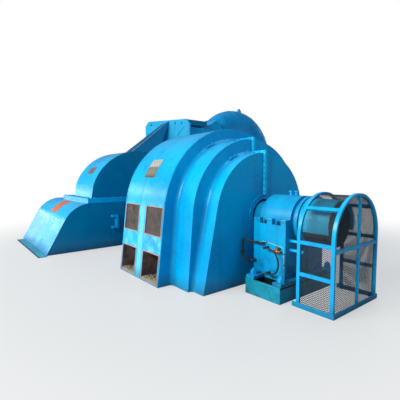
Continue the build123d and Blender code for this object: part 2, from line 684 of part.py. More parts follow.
# Inlet pipe: bend, flanges and riser
bend_x = upper_middle + BEND_SHIFT
sweep_angle = radians(BEND_SWEEP)
outward = Vector(0, cos(sweep_angle), sin(sweep_angle))
bend_run = Vector(0, -sin(sweep_angle), cos(sweep_angle))
bend_end = Vector(0, BEND_AXIS_Y, BEND_AXIS_Z) + outward * BEND_RADIUS


def bend_solid(radius):
    """A round bend from the top of the riser to the chamber, turned about a line along X."""
    axis = Axis((bend_x, BEND_AXIS_Y, BEND_AXIS_Z), (1, 0, 0))
    section = Plane(origin=(bend_x, BEND_AXIS_Y + BEND_RADIUS, BEND_AXIS_Z), z_dir=(0, 0, 1)) * Circle(radius)
    return revolve(section, axis, BEND_SWEEP)


def along_run(radius, reach):
    """A cylinder on the bend's outlet line, between two distances past its end."""
    start, end = reach
    middle = bend_end + bend_run * ((start + end) / 2)
    plane = Plane(origin=(bend_x, middle.Y, middle.Z), x_dir=(1, 0, 0), z_dir=bend_run)
    return plane * Cylinder(radius, end - start)


bore_radius = PIPE_RADIUS - PIPE_WALL
thickness = PIPE_FLANGE_THICKNESS
keep("inlet_bend", bend_solid(PIPE_RADIUS) - bend_solid(bore_radius))
bend_flange = along_run(BEND_FLANGE_RADIUS, (0, thickness))
keep("bend_flange", bend_flange - along_run(bore_radius, (-1, thickness + 1)))

# Nozzle chamber between the head box and the bend
chamber_end = bend_end + bend_run * thickness
corner_high = chamber_end + outward * CHAMBER_HALF_MOUTH
corner_low = chamber_end - outward * CHAMBER_HALF_MOUTH
chamber = side_prism(
    Polyline(
        (0, CHAMBER_LOW_FRONT), (0, neck_low), (HEAD_BOX_BACK, neck_low),
        (corner_high.Y, corner_high.Z), (corner_low.Y, corner_low.Z),
        CHAMBER_KNEE, (HEAD_PLATE_Y, CHAMBER_LOW_FRONT),
        close=True,
    ),
    (bend_x - CHAMBER_WIDTH / 2, bend_x + CHAMBER_WIDTH / 2),
)
keep("nozzle_chamber", chamber - in_front(flange_back))

# Riser down to the floor
riser_y = BEND_AXIS_Y + BEND_RADIUS
riser = post(PIPE_RADIUS, bend_x, riser_y, (thickness, BEND_AXIS_Z))
keep("inlet_riser", riser - post(bore_radius, bend_x, riser_y, (0, BEND_AXIS_Z + 1)))
foot = post(FOOT_FLANGE_RADIUS, bend_x, riser_y, (0, thickness))
foot -= post(bore_radius, bend_x, riser_y, (-1, thickness + 1))
for turn in range(FOOT_BOLTS):
    angle = 2 * pi * (turn + 0.5) / FOOT_BOLTS
    x, y = bend_x + FOOT_BOLT_CIRCLE * cos(angle), riser_y + FOOT_BOLT_CIRCLE * sin(angle)
    foot -= post(FOOT_BOLT_HOLE, x, y, (-1, thickness + 1))
keep("riser_foot_flange", foot)

# Air valve near the crown of the bend
valve_reach = BEND_RADIUS + PIPE_RADIUS
valve_y = BEND_AXIS_Y + valve_reach * cos(radians(AIR_VALVE_ANGLE))
valve_z = BEND_AXIS_Z + valve_reach * sin(radians(AIR_VALVE_ANGLE))
neck_top = valve_z + AIR_VALVE_HEIGHT
air_valve = post(AIR_VALVE_RADIUS, bend_x, valve_y, (valve_z - AIR_VALVE_RADIUS, neck_top))
air_valve += post(AIR_VALVE_CAP_RADIUS, bend_x, valve_y, (neck_top, neck_top + AIR_VALVE_CAP_HEIGHT))
keep("bend_air_valve", air_valve - bend_solid(PIPE_RADIUS + SEAT_GAP))

# Oil pipework on the near side of the front bearing
face_y = -PEDESTAL_HALF_WIDTH


def pipe_along(points, radius, bend):
    """A round pipe on straight runs joined by arcs."""
    path = FilletPolyline(*points, radius=bend)
    section = Plane(origin=path @ 0, z_dir=path % 0) * Circle(radius)
    return sweep(section, path=path)


y = face_y - OIL_PIPE_STANDOFF
(feed_x, feed_z), (return_x, return_z) = OIL_FEED, OIL_RETURN
loop_x = NOSE_FACE + OIL_LOOP_GAP
feed_path = [
    (feed_x, face_y, feed_z), (feed_x, y, feed_z), (loop_x, y, feed_z),
    (loop_x, y, return_z), (return_x, y, return_z), (return_x, face_y, return_z),
]
keep("oil_feed_pipe", pipe_along(feed_path, OIL_PIPE_RADIUS, 2 * OIL_PIPE_RADIUS))
x, z = VALVE_MIDDLE
valve_body = block(
    (x - VALVE_HALF_LENGTH, x + VALVE_HALF_LENGTH),
    (face_y - VALVE_REACH, face_y),
    (z - VALVE_HALF_HEIGHT, z + VALVE_HALF_HEIGHT),
)
keep("oil_valve", fillet(valve_body.edges().filter_by(Axis.Y), VALVE_EDGE))


def widest_arcs(points):
    """For each corner of a route, the widest arc that its two runs leave room for."""
    runs = [Vector(*after) - Vector(*before) for before, after in zip(points, points[1:])]
    radii = []
    for one, two in zip(runs, runs[1:]):
        half_turn = radians(one.get_angle(two)) / 2
        radii.append(HOSE_ARC_SHARE * min(one.length, two.length) / tan(half_turn))
    return radii


# Hose in a bow between two fittings on the bearing's face
hose_y = face_y - HOSE_STANDOFF
route = [(x, hose_y, SHAFT_HEIGHT + rise) for x, rise in HOSE_ROUTE]
arcs = widest_arcs(route)
print("hose arcs", [round(arc) for arc in arcs])
keep("oil_hose", pipe_along(route, HOSE_RADIUS, arcs))
fittings = []
for x, _, z in (route[0], route[-1]):
    fittings.append(block(
        (x - FITTING_LENGTH, x),
        (hose_y - FITTING_SIDE / 2, face_y),
        (z - FITTING_SIDE / 2, z + FITTING_SIDE / 2),
    ))
keep("hose_fittings", *fittings)
stub_x = (PEDESTAL_END, CAGE_START - STUB_CAGE_GAP)
keep("exciter_cable_stubs", *[rod(STUB_RADIUS, stub_x, STUB_Y, SHAFT_HEIGHT - drop) for drop in STUB_DROPS])

for name, solid in nodes.items():
    export_step(solid, f"parts/{name}.step")
print(len(nodes), "nodes")
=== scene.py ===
import bpy
import json
import random
from math import atan2, cos, hypot, pi, radians, sin, sqrt
from mathutils import Matrix, Vector

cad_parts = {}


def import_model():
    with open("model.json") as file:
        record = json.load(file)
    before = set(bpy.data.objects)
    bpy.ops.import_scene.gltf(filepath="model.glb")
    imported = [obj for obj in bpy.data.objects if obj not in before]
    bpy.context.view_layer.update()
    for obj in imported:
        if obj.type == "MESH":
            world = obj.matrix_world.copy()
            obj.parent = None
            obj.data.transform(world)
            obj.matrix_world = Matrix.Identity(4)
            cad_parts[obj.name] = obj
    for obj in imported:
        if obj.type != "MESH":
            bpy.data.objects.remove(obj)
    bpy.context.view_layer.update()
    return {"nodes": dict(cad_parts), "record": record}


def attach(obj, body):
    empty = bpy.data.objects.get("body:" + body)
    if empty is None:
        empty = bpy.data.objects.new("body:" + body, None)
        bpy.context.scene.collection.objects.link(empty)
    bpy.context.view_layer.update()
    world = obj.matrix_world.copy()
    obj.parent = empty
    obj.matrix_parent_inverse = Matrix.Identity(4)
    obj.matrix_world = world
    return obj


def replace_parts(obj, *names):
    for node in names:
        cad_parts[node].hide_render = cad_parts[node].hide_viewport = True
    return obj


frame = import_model()
random.seed(7)

# Finish and small parts of a horizontal-shaft hydroelectric unit. Metres, +Z up.
# X runs along the shaft towards the caged exciter, +Y towards the inlet pipe.

# Main sizes, as in the solids
SHAFT_Z = 1.0
FRAME_R, FRAME_FOOT, FRAME_HALF = 1.4, 1.53, 0.6365
LEG_TOP_Y, LEG_TOP_Z = 1.3905, 1.1667
COVER_R, COVER_FACE = 1.196, 1.0515
NOSE_R, NOSE_FACE = 0.974, 1.3015
JOINT_HALF = 0.022
COLLAR_FACE = 1.3115
VENT_X, VENT_W, SCREEN_MIDDLE = 0.355, 0.468, 0.949
BEARING_FACE = -0.44
CAGE_X0, CAGE_X1, CAGE_HALF, CAGE_TOP = 2.282, 2.776, 0.528, 1.408
CAGE_BAR, CAGE_DEEP = 0.045, 0.028
CAGE_SPRING = CAGE_TOP - CAGE_HALF
CASING_X, CASING_TOP = -2.45, 1.1351
UPPER_MID, UPPER_CENTRE, UPPER_R = -3.15, (-0.113, SHAFT_Z), 1.23
SHOULDER_CENTRE, SHOULDER_R = (-1.336, 0.3546), 0.6883
PLATE_MID, PLATE_TURN = Vector((-3.061, 1.022, 3.15)), radians(27.5)
BEND_X, BEND_Y, BEND_Z, BEND_R, BEND_SWEEP = -3.105, 3.609, 2.13, 1.168, radians(134)
PIPE_R = 0.4
CAPILLARY_Y = BEARING_FACE - 0.0055
OIL_PIPE_Y, HOSE_Y = -0.50, -0.524

# Directions
ALONG, UP = (1, 0, 0), (0, 0, 1)


# Camera

def camera():
    """The photograph's viewpoint."""
    yaw, pitch, roll = radians(51.767), radians(-4.703), radians(-0.288)
    eye = Vector((4.6145, -3.873, 1.627))
    focal_px, frame_px, sensor_mm = 323.227, 400, 36
    ahead = Vector((-sin(yaw) * cos(pitch), cos(yaw) * cos(pitch), sin(pitch)))
    right = Vector((cos(yaw), sin(yaw), 0))
    up = right.cross(ahead)
    across = cos(roll) * right + sin(roll) * up
    upright = -sin(roll) * right + cos(roll) * up
    data = bpy.data.cameras.new("camera")
    data.sensor_width = sensor_mm
    data.lens = focal_px / frame_px * sensor_mm
    data.shift_y = 0.0056
    cam = bpy.data.objects.new("camera", data)
    bpy.context.scene.collection.objects.link(cam)
    place = Matrix((across, upright, -ahead)).transposed().to_4x4()
    place.translation = eye
    cam.matrix_world = place
    bpy.context.scene.camera = cam


camera()


# Shader helpers

def linear(*rgb):
    """Linear colour from screen values 0 to 255."""
    out = []
    for c in rgb:
        c = c / 255
        out.append(c / 12.92 if c <= 0.04045 else ((c + 0.055) / 1.055) ** 2.4)
    return (*out, 1)


def scaled(colour, share):
    """A colour at a share of its brightness."""
    return tuple(min(1, share * c) for c in colour[:3]) + (1,)


def add(tree, kind, inputs=None, **props):
    """A node with its inputs linked or set, by index or name."""
    node = tree.nodes.new(kind)
    for key, value in props.items():
        setattr(node, key, value)
    for key, value in (inputs or {}).items():
        socket = node.inputs[key]
        if isinstance(value, bpy.types.NodeSocket):
            tree.links.new(value, socket)
        else:
            socket.default_value = value
    return node


def maths(tree, operation, a, b=0.0, clamp=False):
    """One step of arithmetic on numbers or node outputs."""
    return add(tree, "ShaderNodeMath", {0: a, 1: b}, operation=operation, use_clamp=clamp).outputs[0]


def times(tree, a, b):
    return maths(tree, "MULTIPLY", a, b)


def magnitude(tree, value):
    return maths(tree, "ABSOLUTE", value)


def mapped(tree, value, low, high, out_low=0.0, out_high=1.0):
    """Value from one range to another, clamped, with smooth ends."""
    inputs = {"Value": value, "From Min": low, "From Max": high, "To Min": out_low, "To Max": out_high}
    return add(tree, "ShaderNodeMapRange", inputs, interpolation_type="SMOOTHSTEP").outputs[0]


def mixed(tree, factor, a, b):
    """Colour a at factor 0, colour b at factor 1."""
    return add(tree, "ShaderNodeMix", {0: factor, 6: a, 7: b}, data_type="RGBA").outputs[2]


def noise(tree, where, scale, detail=3.0, rough=0.55, stretch=None):
    """Noise of about 0.3 to 0.7; a small number in stretch draws it out along that axis."""
    if stretch:
        where = add(tree, "ShaderNodeMapping", {"Vector": where, "Scale": stretch}).outputs[0]
    inputs = {"Vector": where, "Scale": scale, "Detail": detail, "Roughness": rough}
    return add(tree, "ShaderNodeTexNoise", inputs).outputs[0]


def blank(name):
    """A material, its tree, its shader and the object's own coordinates."""
    mat = bpy.data.materials.new(name)
    mat.use_nodes = True
    tree = mat.node_tree
    shader = tree.nodes["Principled BSDF"]
    where = add(tree, "ShaderNodeTexCoord").outputs["Object"]
    return mat, tree, shader, where


def split(tree, vector):
    """The three parts of a vector, x, y and z."""
    return add(tree, "ShaderNodeSeparateXYZ", {0: vector}).outputs


def rounded(tree, radius):
    """The surface's direction with its edges rounded off."""
    return add(tree, "ShaderNodeBevel", {"Radius": radius}, samples=4).outputs[0]


def bump(tree, shader, height, strength, distance, normal=None):
    """Fine relief on the shader, over the rounded edges where a normal is given."""
    inputs = {"Height": height, "Strength": strength, "Distance": distance}
    if normal is not None:
        inputs["Normal"] = normal
    node = add(tree, "ShaderNodeBump", inputs)
    tree.links.new(node.outputs[0], shader.inputs["Normal"])


# Paint and metal

DUST = linear(120, 146, 152)
LEG_HIGHLIGHT = linear(128, 218, 236)
GRIME = linear(0, 74, 112)
SLUDGE = linear(20, 82, 70)
DIRT = linear(20, 46, 58)
RUST = linear(96, 60, 46)
RUN_SHADE, DIM_SHADE, EDGE_HIGHLIGHT, CHIPS = 0.45, 0.3, 1.35, 0.4


def paint(name, main, deep, dust=0.22, dirt=0.55, rough=0.24, runs=0.25, painted_shade=None, masked_tint=None, masked_tones=None):
    """Gloss enamel over metal: uneven colour, runs, dust above, dirt below, a painted highlight and rust on
    edges, and chips.

    Painted shade by facing, given as (axis, low, high, amount), darkens faces as their normal goes from low
    to high on that axis.
    The last two are a mask with a tint and a mask with two tones; each mask says where on the object they
    lie, and lays on stains, a painted highlight or painted shade.
    """
    mat, tree, shader, where = blank(name)
    place = split(tree, where)
    flat = add(tree, "ShaderNodeNewGeometry").outputs["Normal"]
    facing = split(tree, flat)
    cloud = noise(tree, where, 0.9, 4.0, 0.6)
    patch = noise(tree, where, 5.5, 5.0, 0.65)
    streak = noise(tree, where, 9.0, 4.0, 0.6, stretch=(1.0, 1.0, 0.07))
    grain = noise(tree, where, 2.6, 6.0, 0.7)

    colour = mixed(tree, mapped(tree, cloud, 0.36, 0.66), main, deep)
    colour = mixed(tree, mapped(tree, patch, 0.52, 0.8, 0.0, 0.3), colour, deep)
    colour = mixed(tree, mapped(tree, streak, 0.52, 0.74, 0.0, runs), colour, scaled(deep, RUN_SHADE))
    # painted shade on faces turned one way
    if painted_shade:
        axis, low, high, amount = painted_shade
        shaded = mapped(tree, facing[axis], low, high, 0.0, amount)
        colour = mixed(tree, shaded, colour, scaled(deep, DIM_SHADE))
    if masked_tint:
        mask, tint = masked_tint
        colour = mixed(tree, mask(tree, place, facing, patch), colour, tint)
    if masked_tones:
        mask, tones = masked_tones
        colour = mixed(tree, mask(tree, place), colour, mixed(tree, mapped(tree, patch, 0.35, 0.65), *tones))

    level = mapped(tree, facing[2], 0.55, 0.98)
    lying = times(tree, level, mapped(tree, grain, 0.3, 0.75, 0.25, 1.0))
    dusty = maths(tree, "MULTIPLY", lying, dust, True)
    colour = mixed(tree, dusty, colour, DUST)
    height = maths(tree, "ADD", place[2], times(tree, grain, -0.22))
    dirty = mapped(tree, height, 0.12, -0.12, 0.0, dirt)
    colour = mixed(tree, dirty, colour, DIRT)

    soft = rounded(tree, 0.005)
    colour = highlit_and_worn(tree, where, flat, soft, main, colour)
    tree.links.new(colour, shader.inputs["Base Color"])

    dull = maths(tree, "ADD", times(tree, dusty, 0.5), times(tree, dirty, 0.5))
    dull = maths(tree, "ADD", dull, mapped(tree, grain, 0.3, 0.8, rough, rough + 0.16), True)
    tree.links.new(dull, shader.inputs["Roughness"])
    shader.inputs["Specular IOR Level"].default_value = 0.25
    shader.inputs["Coat Weight"].default_value = 0.05
    shader.inputs["Coat Roughness"].default_value = 0.15
    waves = times(tree, noise(tree, where, 3.2, 2.0), 5.0)
    bump(tree, shader, maths(tree, "ADD", waves, noise(tree, where, 160.0, 2.0)), 0.35, 0.0012, soft)
    return mat


def highlit_and_worn(tree, where, flat, soft, main, colour):
    """The colour with a painted highlight on its edges, rust where they are rubbed through, and chips all
    over.
    """
    turn = add(tree, "ShaderNodeVectorMath", {0: soft, 1: flat}, operation="DOT_PRODUCT").outputs["Value"]
    edge = mapped(tree, turn, 0.985, 0.86)
    rubbed = times(tree, edge, mapped(tree, noise(tree, where, 14.0, 5.0, 0.7), 0.5, 0.66))
    # painted highlight: every edge a quarter of the way to a lighter blue
    colour = mixed(tree, times(tree, edge, 0.25), colour, scaled(main, EDGE_HIGHLIGHT))
    colour = mixed(tree, times(tree, rubbed, CHIPS), colour, RUST)
    speck = times(tree, noise(tree, where, 60.0, 3.0, 0.7), noise(tree, where, 7.0, 2.0))
    return mixed(tree, mapped(tree, speck, 0.42, 0.46, 0.0, CHIPS), colour, RUST)


def steel(name, colour, rough=0.4, metal=0.85, stain=RUST, stains=0.25, scale=40.0, stretch=None):
    """Bare or plated metal, and other plain stuff, with a grain, uneven gloss and stains."""
    mat, tree, shader, where = blank(name)
    grain = noise(tree, where, scale, 5.0, 0.65, stretch=stretch)
    cloud = noise(tree, where, 6.0, 4.0, 0.65)
    tone = mixed(tree, mapped(tree, grain, 0.3, 0.7), scaled(colour, 0.7), colour)
    tone = mixed(tree, mapped(tree, cloud, 0.5, 0.78, 0.0, stains), tone, stain)
    tree.links.new(tone, shader.inputs["Base Color"])
    tree.links.new(mapped(tree, grain, 0.25, 0.75, rough - 0.12, rough + 0.15), shader.inputs["Roughness"])
    shader.inputs["Metallic"].default_value = metal
    bump(tree, shader, grain, 0.3, 0.0006, rounded(tree, 0.002))
    return mat


def plate_metal(name):
    """Two bare plates: a pale upper one and an olive lower one with a browned lower edge."""
    upper_foot, brown_top, brown_full = 1.768, 1.665, 1.615
    mat, tree, shader, where = blank(name)
    z = split(tree, where)[2]
    grain = noise(tree, where, 24.0, 5.0, 0.7)
    cloud = mapped(tree, grain, 0.35, 0.7)
    pale = mixed(tree, cloud, linear(186, 180, 170), linear(160, 152, 142))
    olive = mixed(tree, cloud, linear(134, 130, 112), linear(108, 102, 86))
    olive = mixed(tree, mapped(tree, z, brown_top, brown_full), olive, linear(104, 76, 52))
    colour = mixed(tree, mapped(tree, z, upper_foot, upper_foot + 0.006), olive, pale)
    tree.links.new(colour, shader.inputs["Base Color"])
    tree.links.new(mapped(tree, grain, 0.3, 0.7, 0.3, 0.5), shader.inputs["Roughness"])
    shader.inputs["Metallic"].default_value = 0.25
    bump(tree, shader, grain, 0.2, 0.0005)
    return mat


# Masks that say where paint takes painted shade, painted highlights, stains or dirt

def pocket_shade(tree, place):
    """Painted shade behind the vents, inside the leg faces."""
    y, z = place[1], place[2]
    lean = atan2(FRAME_FOOT - LEG_TOP_Y, LEG_TOP_Z)
    face = FRAME_FOOT * cos(lean)
    depth = maths(tree, "ADD", times(tree, magnitude(tree, y), cos(lean)), times(tree, z, sin(lean)))
    inside = mapped(tree, depth, face - 0.003, face - 0.012)
    return times(tree, inside, mapped(tree, z, 1.2, 1.17))


def leg_highlight_mask(tree, place, facing, patch):
    """Painted highlight on the leg bands: between the vents, along their outer edges and in patches."""
    far = magnitude(tree, place[0])
    strip = mapped(tree, far, 0.085, 0.05, 0.0, 0.5)
    rim = mapped(tree, far, 0.606, 0.618, 0.0, 0.55)
    spots = mapped(tree, patch, 0.42, 0.68, 0.05, 0.6)
    mask = maths(tree, "MAXIMUM", maths(tree, "MAXIMUM", strip, rim), spots)
    outward = mapped(tree, magnitude(tree, facing[1]), 0.8, 0.9)
    return times(tree, times(tree, mask, outward), mapped(tree, place[2], 1.35, 1.05))


def foot_grime(tree, place, facing, patch):
    """Oily dirt on the lower part of a bearing pedestal."""
    return times(tree, mapped(tree, place[2], 0.66, 0.26, 0.0, 0.8), mapped(tree, patch, 0.4, 0.62))


def sole_spots(tree, place, facing, patch):
    """Oil and rust spots on a sole block's sides, under its clean top edge."""
    return times(tree, mapped(tree, place[2], 0.197, 0.185), mapped(tree, patch, 0.46, 0.64, 0.0, 0.55))


def joint_highlight_mask(tree, place):
    """Painted highlight on the raised joint between the cover halves."""
    along = mapped(tree, magnitude(tree, place[0]), COVER_FACE + 0.002, COVER_FACE + 0.012)
    across = mapped(tree, magnitude(tree, place[1]), JOINT_HALF + 0.0012, JOINT_HALF + 0.0002)
    return times(tree, along, across)


def pocket_oil_and_gap_shadow(tree, place):
    """Black in the sole's pockets, oil with painted shade of the deep recess, and painted shadow in the gap
    under the pedestal's foot.
    """
    x, y, z = place
    pocket_x, pocket_half, pocket_y = 1.84, 0.162, 0.63
    foot_z, sole_end = 0.19, 2.134
    far = magnitude(tree, x)
    off_middle = magnitude(tree, maths(tree, "SUBTRACT", far, pocket_x))
    inside = mapped(tree, magnitude(tree, y), pocket_y + 0.01, pocket_y)
    pocket = times(tree, inside, mapped(tree, off_middle, pocket_half + 0.008, pocket_half))
    gap = times(tree, mapped(tree, z, foot_z - 0.006, foot_z), mapped(tree, far, sole_end - 0.006, sole_end))
    return maths(tree, "MAXIMUM", pocket, gap)


def lip_edge(tree, place):
    """Black outer edge of the casing's base lip."""
    return mapped(tree, place[1], -2.455, -2.475)


# Materials by name

ENAMEL = dict(main=linear(0, 168, 226), deep=linear(0, 146, 208))
POCKET_SHADE_TONES = (linear(84, 72, 76), linear(136, 120, 116))
JOINT_HIGHLIGHT = (linear(40, 206, 246), linear(20, 190, 238))
OIL_AND_SHADOW = (linear(6, 10, 14), linear(16, 20, 24))
LIP_EDGE_TONES = (linear(10, 22, 28), linear(24, 40, 46))
PAINTS = {
    "blue_paint": ENAMEL,
    "blue_paint_bright": dict(main=linear(0, 170, 226), deep=linear(0, 150, 212)),
    "blue_paint_pipe": dict(main=linear(0, 146, 212), deep=linear(0, 122, 186), runs=0.35, rough=0.32),
    # frame: painted highlight on the leg bands, painted shade inside the vents
    "frame_paint": dict(ENAMEL, masked_tint=(leg_highlight_mask, LEG_HIGHLIGHT), masked_tones=(pocket_shade, POCKET_SHADE_TONES)),
    # covers: painted highlight on the raised joint
    "cover_paint": dict(ENAMEL, masked_tones=(joint_highlight_mask, JOINT_HIGHLIGHT)),
    # casings: painted shade on faces turned to +X
    "casing_paint": dict(ENAMEL, painted_shade=(0, 0.8, 0.99, 0.7), rough=0.17),
    # conduit: a darker copy of the blue, painted shade, with more painted shade on its upward faces
    "conduit_paint": dict(
        main=linear(0, 132, 186), deep=linear(0, 106, 160), dust=0.04, runs=0.4, rough=0.5,
        painted_shade=(2, 0.3, 0.6, 0.8),
    ),
    "pedestal_paint": dict(
        main=linear(0, 160, 212), deep=linear(0, 140, 198), runs=0.4, masked_tint=(foot_grime, GRIME),
    ),
    # soles: oil and painted shade in the pockets, painted shadow under the foot
    "sole_paint": dict(
        main=linear(0, 150, 186), deep=linear(0, 124, 150), dirt=0.25, runs=0.5, rough=0.4,
        masked_tint=(sole_spots, SLUDGE), masked_tones=(pocket_oil_and_gap_shadow, OIL_AND_SHADOW),
    ),
    "lip_paint": dict(
        main=linear(60, 176, 214), deep=linear(40, 140, 170), dirt=0.2, rough=0.35, masked_tones=(lip_edge, LIP_EDGE_TONES),
    ),
    # caps and adapter: darker copies of the blue, painted shade; the adapter's downward faces get more
    "cap_paint": dict(main=linear(0, 150, 202), deep=linear(0, 126, 182), dust=0.05, runs=0.4, rough=0.34),
    "adapter_paint": dict(
        main=linear(0, 150, 204), deep=linear(0, 120, 174), dust=0.05, runs=0.4, rough=0.34,
        painted_shade=(2, 0.2, -0.7, 0.45),
    ),
    "head_paint": dict(main=linear(0, 158, 206), deep=linear(0, 138, 188), dust=0.02, runs=0.35, rough=0.62),
    # hood: a brighter copy of the blue, painted light that lifts it under the cage mesh
    "hood_paint": dict(main=linear(0, 206, 250), deep=linear(0, 176, 232), rough=0.3, dust=0.02),
}
METALS = {
    # pale lines painted as highlights along the casing's creases
    "pale_highlight": dict(
        colour=linear(176, 214, 226), stain=linear(90, 180, 214), stains=0.5, rough=0.35, metal=0.1,
    ),
    # pale lines: painted highlights on the conduit's and cap's edges, and the capillary's own colour
    "highlight_and_capillary": dict(
        colour=linear(140, 200, 222), stain=linear(60, 150, 190), stains=0.6, rough=0.4, metal=0.1,
    ),
    "mesh_steel": dict(
        colour=linear(30, 46, 60), stain=linear(16, 22, 28), stains=0.4, rough=0.6, metal=0.0,
    ),
    "vent_border": dict(
        colour=linear(186, 146, 138), stain=linear(134, 92, 78), stains=0.7, rough=0.75, metal=0.1,
        scale=90.0,
    ),
    "vent_mesh": dict(
        colour=linear(134, 124, 122), stain=linear(46, 38, 42), stains=1.0, rough=0.7, metal=0.2,
        scale=9.0,
    ),
    "machined_steel": dict(colour=linear(172, 174, 178), rough=0.3, metal=1.0, stretch=(0.15, 1, 1)),
    "dark_iron": dict(colour=linear(30, 34, 42), rough=0.45, metal=0.3),
    "oil_pipe": dict(
        colour=linear(34, 48, 34), stain=linear(120, 96, 50), stains=0.35, rough=0.45, metal=0.3,
    ),
    "hose_rubber": dict(
        colour=linear(16, 18, 24), stain=linear(50, 52, 52), stains=0.3, rough=0.5, metal=0.0,
    ),
    "valve_brass": dict(
        colour=linear(176, 126, 66), stain=linear(92, 56, 30), stains=0.7, rough=0.4, metal=0.8,
    ),
    "bolt_steel": dict(
        colour=linear(40, 78, 104), stain=linear(26, 36, 44), stains=0.5, rough=0.5, metal=0.4,
    ),
    "rubble": dict(
        colour=linear(150, 142, 124), stain=linear(96, 84, 70), stains=0.8, rough=0.95, metal=0.0,
        scale=60.0,
    ),
    "orange_plate": dict(
        colour=linear(196, 100, 66), stain=linear(150, 120, 110), stains=0.8, rough=0.5, metal=0.0,
        scale=16.0,
    ),
    "brown_plate": dict(
        colour=linear(116, 100, 100), stain=linear(96, 74, 72), stains=0.6, rough=0.5, metal=0.2,
        scale=16.0,
    ),
}
mats = {name: paint(name, **look) for name, look in PAINTS.items()}
mats.update({name: steel(name, **look) for name, look in METALS.items()})
mats["plate_metal"] = plate_metal("plate_metal")

# Nodes with a finish of their own; the others take their slot's
FINISHES = {
    "frame_paint": ("generator_frame",),
    "cover_paint": ("front_cover_left", "front_cover_right", "rear_cover_left", "rear_cover_right"),
    "pedestal_paint": ("front_bearing_pedestal", "rear_bearing_pedestal"),
    "cap_paint": ("front_bearing_cap", "rear_bearing_cap"),
    "adapter_paint": ("exciter_adapter",),
    "sole_paint": ("bearing_soles",),
    "lip_paint": ("casing_base_lip",),
    "casing_paint": ("turbine_lower_casing", "turbine_upper_casing", "head_box"),
    "head_paint": ("head_plate",),
    "hood_paint": ("exciter_hood",),
    "conduit_paint": ("nozzle_conduit",),
}


def finish_nodes():
    """The solids' own materials."""
    chosen = {row["node"]: row["material_slot"] for row in frame["record"]["subparts"]}
    chosen.update({node: finish for finish, nodes in FINISHES.items() for node in nodes})
    for name, node in frame["nodes"].items():
        node.data.materials.clear()
        node.data.materials.append(mats[chosen[name]])


finish_nodes()


# Piece helpers

def stand(obj):
    """Put an object on the fixed body."""
    bpy.context.scene.collection.objects.link(obj)
    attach(obj, "root")
    return obj


def evenly(low, high, count):
    """Values from low to high in so many steps."""
    return [low + (high - low) * i / count for i in range(count + 1)]


class Shape:
    """Collects closed forms into one mesh."""

    def __init__(self):
        self.verts, self.faces = [], []

    def loops(self, rings):
        """Skin between rings of points with the same count, closed at both ends."""
        start, n = len(self.verts), len(rings[0])
        for ring in rings:
            self.verts += [Vector(p) for p in ring]
        for k in range(len(rings) - 1):
            for i in range(n):
                j = (i + 1) % n
                a, b = start + k * n, start + (k + 1) * n
                self.faces.append((a + i, a + j, b + j, b + i))
        self.faces.append(tuple(start + i for i in reversed(range(n))))
        last = start + (len(rings) - 1) * n
        self.faces.append(tuple(last + i for i in range(n)))

    def turned(self, centre, axis, profile, sides, phase=0.0):
        """A turned form: profile is (distance along the axis, radius) pairs."""
        axis = Vector(axis).normalized()
        side = axis.orthogonal().normalized()
        other = axis.cross(side)
        turns = [phase + 2 * pi * i / sides for i in range(sides)]
        rings = []
        for along, radius in profile:
            middle = Vector(centre) + axis * along
            rings.append([middle + radius * (cos(turn) * side + sin(turn) * other) for turn in turns])
        self.loops(rings)

    def bolt(self, centre, axis, size):
        """Hexagon head on a washer; size is the head's radius."""
        washer = [(0, 1.25 * size), (0.18 * size, 1.25 * size), (0.2 * size, 1.1 * size)]
        head = [(0.2 * size, size), (0.8 * size, size), (0.9 * size, 0.86 * size)]
        self.turned(centre, axis, washer, 12)
        self.turned(centre, axis, head, 6, random.random())

    def bar(self, a, b, wide, thick, face):
        """A straight flat bar between two points; face is the direction of its thickness."""
        run = (Vector(b) - Vector(a)).normalized()
        up = Vector(face).normalized()
        across = run.cross(up).normalized() * (wide / 2)
        lift = up * (thick / 2)
        ring = [across + lift, lift - across, -across - lift, across - lift]
        self.loops([[Vector(a) + p for p in ring], [Vector(b) + p for p in ring]])

    def make(self, name, mat, slot):
        """The mesh as a piece of its own."""
        mesh = bpy.data.meshes.new(name)
        mesh.from_pydata([tuple(v) for v in self.verts], [], self.faces)
        mesh.materials.append(mats[mat])
        mesh.update()
        return stand(bpy.data.objects.new(name, mesh))


def tube(name, points, radius, mat, cyclic=False, smooth=False):
    """A round rod or bead along points, straight between them or one smooth line."""
    data = bpy.data.curves.new(name, "CURVE")
    data.dimensions = "3D"
    data.bevel_depth = radius
    data.bevel_resolution = 3
    data.use_fill_caps = True
    line = data.splines.new("NURBS" if smooth else "POLY")
    line.points.add(len(points) - 1)
    for p, point in zip(line.points, points):
        p.co = (*point, 1)
    line.use_cyclic_u = cyclic
    if smooth:
        line.order_u = 3
        line.use_endpoint_u = True
        line.resolution_u = 12
    data.materials.append(mats[mat])
    return stand(bpy.data.objects.new(name, data))


# Places on the object

def frame_arch(x):
    """Points over the frame at x, from the -Y foot to the +Y foot, with outward directions."""
    steps = 96
    reach = hypot(FRAME_FOOT, SHAFT_Z)
    run = sqrt(reach**2 - FRAME_R**2)
    lean = atan2(SHAFT_Z, FRAME_FOOT) + atan2(FRAME_R, run)
    out = Vector((0, -sin(lean), cos(lean)))
    start = atan2(out.z, out.y)
    line = [(Vector((x, -FRAME_FOOT, 0)), out)]
    for i in range(steps + 1):
        angle = start + 2 * (pi / 2 - start) * i / steps
        way = Vector((0, cos(angle), sin(angle)))
        line.append((Vector((x, 0, SHAFT_Z)) + way * FRAME_R, way))
    line.append((Vector((x, FRAME_FOOT, 0)), Vector((0, -out.y, out.z))))
    return line


leg_out = frame_arch(0)[0][1]
LEG_TILT = atan2(leg_out.z, -leg_out.y)


